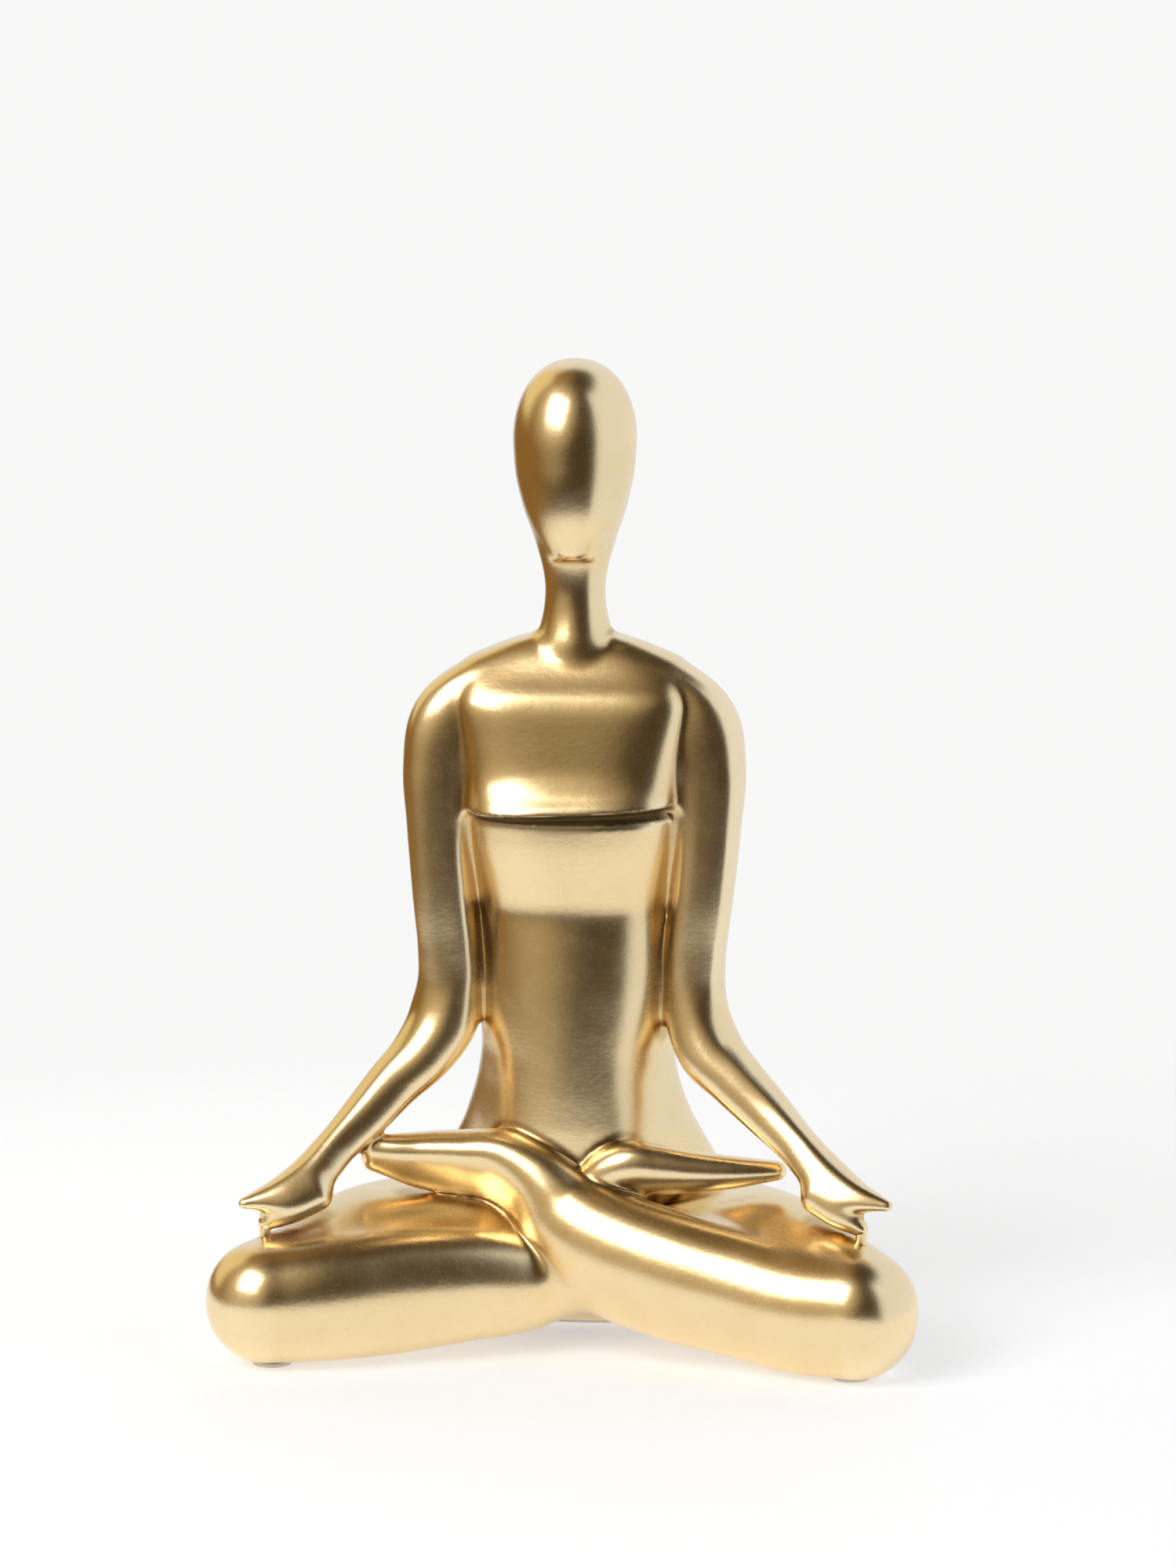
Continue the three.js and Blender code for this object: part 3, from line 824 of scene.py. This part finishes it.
def rubber_material():
    s = Shader("plug_rubber")
    dust = s.noise(0.9, 4)
    tone = s.ramp(dust, (0.4, (0.012, 0.012, 0.012)), (0.75, (0.05, 0.048, 0.045)))
    rough = s.ramp(dust, (0.3, 0.7), (0.7, 0.88))
    return s.set(Base_Color=tone, Roughness=rough, Normal=s.bump(dust, 0.05))


def felt_material():
    s = Shader("felt")
    fibres = s.noise(0.35, 5, 0.7, (1, 0.35, 1))
    tufts = s.noise(1.6, 3)
    tone = s.ramp(fibres, (0.3, (0.70, 0.67, 0.60)), (0.75, (0.86, 0.83, 0.77)))
    return s.set(
        Base_Color=tone,
        Roughness=0.95,
        Sheen_Weight=0.4,
        Normal=s.bump(fibres, 0.12, under=s.bump(tufts, 0.15)),
    )


def dress_hardware(nodes, gold):
    """Gives each CAD node that stays its own finish."""
    steel, plastic, rubber, felt = (
        steel_material(),
        plastic_material(),
        rubber_material(),
        felt_material(),
    )
    for name, node in nodes.items():
        if node.hide_render:
            continue
        if "peg" in name:
            chosen = gold
        elif "pin" in name:
            chosen = steel
        elif "felt" in name:
            chosen = felt
        elif "plug" in name:
            chosen = rubber
        else:
            chosen = plastic
        node.data.materials.clear()
        node.data.materials.append(chosen)


# ---- floor, light and camera -----------------------------------------------------------------

FLOOR_RADIUS = 0.9
TABLE_EDGE = (0.20, 0.34)  # the pale table fades out between these distances
CAMERA = {"azimuth": 5.5, "elevation": 12.0, "distance": 1.8, "lens": 177.8}
CAMERA_TURNS_ABOUT = (0.0, 0.00625, 0.1)
CAMERA_LOOKS_AT = (0.003, 0.00625, 0.1307)


def towards(azimuth, elevation):
    """The direction at these angles. Azimuth 0 is in front of the figure, 90 is on its left."""
    a, e = math.radians(azimuth), math.radians(elevation)
    return Vector((math.sin(a) * math.cos(e), -math.cos(a) * math.cos(e), math.sin(e)))


def floor():
    """A round pale table top that fades into the pale surroundings."""
    rings, sides = 24, 96
    radii = FLOOR_RADIUS * (np.arange(1, rings + 1) / rings) ** 1.6
    turns = 2 * math.pi * np.arange(sides) / sides
    points = [(0, 0, 0)] + [(r * math.cos(t), r * math.sin(t), 0) for r in radii for t in turns]
    faces = [(0, 1 + i, 1 + (i + 1) % sides) for i in range(sides)]
    for ring in range(rings - 1):
        a, b = 1 + ring * sides, 1 + (ring + 1) * sides
        faces += [(a + i, b + i, b + (i + 1) % sides, a + (i + 1) % sides) for i in range(sides)]
    mesh = bpy.data.meshes.new("floor")
    mesh.from_pydata(points, [], faces)
    made = bpy.data.objects.new("floor", mesh)
    bpy.context.scene.collection.objects.link(made)
    mesh.materials.append(floor_material())


def floor_material():
    s = Shader("floor")
    speckle = s.noise(3, 3)
    tone = s.ramp(speckle, (0.3, (0.77, 0.77, 0.765)), (0.7, (0.81, 0.81, 0.805)))
    reach = s.node("ShaderNodeVectorMath", operation="LENGTH")
    s.link(s.place, reach, 0)
    fade = s.node("ShaderNodeMapRange", interpolation_type="SMOOTHSTEP")
    fade.inputs["From Min"].default_value = TABLE_EDGE[0]
    fade.inputs["From Max"].default_value = TABLE_EDGE[1]
    fade.inputs["To Min"].default_value = 1.0
    fade.inputs["To Max"].default_value = 0.0
    s.link(reach.outputs["Value"], fade, "Value")
    return s.set(
        Base_Color=tone,
        Roughness=0.8,
        Emission_Color=(0.85, 0.91, 1.0),
        Emission_Strength=0.48,
        Alpha=fade.outputs["Result"],
    )


def world():
    """The studio by direction.

    A white wall on the figure's left and behind, a cream panel behind its right, a glow round the
    key light, and the rest dim. The camera sees a plain pale backdrop instead.
    """
    made = bpy.data.worlds.new("studio")
    bpy.context.scene.world = made
    made.use_nodes = True
    tree = made.node_tree
    tree.nodes.clear()

    def node(kind, **settings):
        new = tree.nodes.new(kind)
        for name, value in settings.items():
            setattr(new, name, value)
        return new

    direction = node("ShaderNodeTexCoord").outputs["Generated"]

    def along(axis):
        dot = node("ShaderNodeVectorMath", operation="DOT_PRODUCT")
        tree.links.new(direction, dot.inputs[0])
        dot.inputs[1].default_value = axis
        return dot.outputs["Value"]

    def calc(operation, a, b):
        new = node("ShaderNodeMath", operation=operation)
        for socket, value in enumerate((a, b)):
            if isinstance(value, (int, float)):
                new.inputs[socket].default_value = value
            else:
                tree.links.new(value, new.inputs[socket])
        return new.outputs[0]

    def window(value, low, high):
        new = node("ShaderNodeMapRange", interpolation_type="SMOOTHSTEP")
        tree.links.new(value, new.inputs["Value"])
        new.inputs["From Min"].default_value = low
        new.inputs["From Max"].default_value = high
        return new.outputs["Result"]

    def mix(share, a, b):
        new = node("ShaderNodeMix", data_type="RGBA")
        tree.links.new(share, new.inputs[0])
        for socket, value in ((6, a), (7, b)):
            if isinstance(value, tuple):
                new.inputs[socket].default_value = (*value, 1)
            else:
                tree.links.new(value, new.inputs[socket])
        return new.outputs[2]

    def sine(degrees):
        return math.sin(math.radians(degrees))

    height = along((0, 0, 1))
    level = calc("SUBTRACT", 1.0, calc("MULTIPLY", height, height))
    level = calc("SQRT", calc("MAXIMUM", level, 1e-4), 0.5)
    wall_turn = calc("DIVIDE", along(towards(WALL["azimuth"], 0)), level)
    wall = window(wall_turn, WALL["edge"] - WALL["soft"], WALL["edge"] + WALL["soft"])
    wall = calc("MULTIPLY", wall, window(height, sine(WALL["top"] + 8), sine(WALL["top"] - 8)))
    side_turn = calc("DIVIDE", along(towards(SIDE["azimuth"], 0)), level)
    side = window(side_turn, SIDE["outer"], SIDE["inner"])
    tone = mix(side, ROOM["dim"], ROOM["side"])
    around_key = along(towards(GLOW["azimuth"], GLOW["elevation"]))
    tone = mix(window(around_key, GLOW["outer"], GLOW["inner"]), tone, ROOM["glow"])
    back_turn = calc("DIVIDE", along(towards(BACK["azimuth"], 0)), level)
    back = window(back_turn, BACK["outer"], BACK["inner"])
    back = calc("MULTIPLY", back, window(height, sine(BACK["low"]), sine(BACK["low"] + 10)))
    back = calc("MULTIPLY", back, window(height, sine(BACK["top"] + 8), sine(BACK["top"] - 8)))
    tone = mix(back, tone, ROOM["back"])
    tone = mix(wall, tone, ROOM["wall"])
    studio = node("ShaderNodeBackground")
    tree.links.new(tone, studio.inputs["Color"])
    plain = node("ShaderNodeBackground")
    plain.inputs["Color"].default_value = (0.94, 0.94, 0.935, 1)
    seen = node("ShaderNodeMixShader")
    tree.links.new(node("ShaderNodeLightPath").outputs["Is Camera Ray"], seen.inputs["Fac"])
    tree.links.new(studio.outputs[0], seen.inputs[1])
    tree.links.new(plain.outputs[0], seen.inputs[2])
    tree.links.new(seen.outputs[0], node("ShaderNodeOutputWorld").inputs["Surface"])


# The room's colours, and where its lit parts are: a part's middle, and the cosines of the angles
# from there at which it starts and is full.
ROOM = {
    "dim": (0.048, 0.028, 0.009),
    "side": (0.24, 0.135, 0.035),
    "glow": (0.52, 0.41, 0.24),
    "wall": (0.84, 0.88, 0.95),
    "back": (0.85, 0.72, 0.42),
}
WALL = {"azimuth": 131, "edge": math.cos(math.radians(77)), "soft": 0.10, "top": 56}
SIDE = {"azimuth": -115, "outer": 0.2, "inner": 1.0}
BACK = {"azimuth": -150, "outer": math.cos(math.radians(55)), "inner": 0.82, "low": 2, "top": 54}
GLOW = {"azimuth": -42, "elevation": 32, "outer": math.cos(math.radians(56)), "inner": 0.94}
KEY = {
    "azimuth": -39,
    "elevation": 38,
    "distance": 1.5,
    "width": 0.95,
    "height": 0.95,
    "power": 11.5,
    "colour": (0.96, 0.98, 1.0),
}


def softbox(name, azimuth, elevation, distance, width, height, power, colour):
    light = bpy.data.lights.new(name, "AREA")
    light.shape = "RECTANGLE"
    light.size = width
    light.size_y = height
    light.energy = power
    light.color = colour
    made = bpy.data.objects.new(name, light)
    away = towards(azimuth, elevation)
    made.location = away * distance + Vector((0, 0, 0.11))
    made.rotation_euler = away.to_track_quat("Z", "Y").to_euler()
    made.visible_camera = False
    bpy.context.scene.collection.objects.link(made)


def camera():
    lens = bpy.data.cameras.new("camera")
    lens.lens = CAMERA["lens"]
    lens.sensor_width = 36
    lens.clip_start = 0.05
    made = bpy.data.objects.new("camera", lens)
    away = towards(CAMERA["azimuth"], CAMERA["elevation"])
    made.location = Vector(CAMERA_TURNS_ABOUT) + away * CAMERA["distance"]
    back = made.location - Vector(CAMERA_LOOKS_AT)
    made.rotation_euler = back.to_track_quat("Z", "Y").to_euler()
    bpy.context.scene.collection.objects.link(made)
    bpy.context.scene.camera = made


def show_plainly():
    view = bpy.context.scene.view_settings
    view.view_transform = "Standard"
    view.look = "None"


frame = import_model()
gold = gold_material()
castings(gold)
dress_hardware(frame["nodes"], gold)
floor()
world()
softbox("key", **KEY)
camera()
show_plainly()
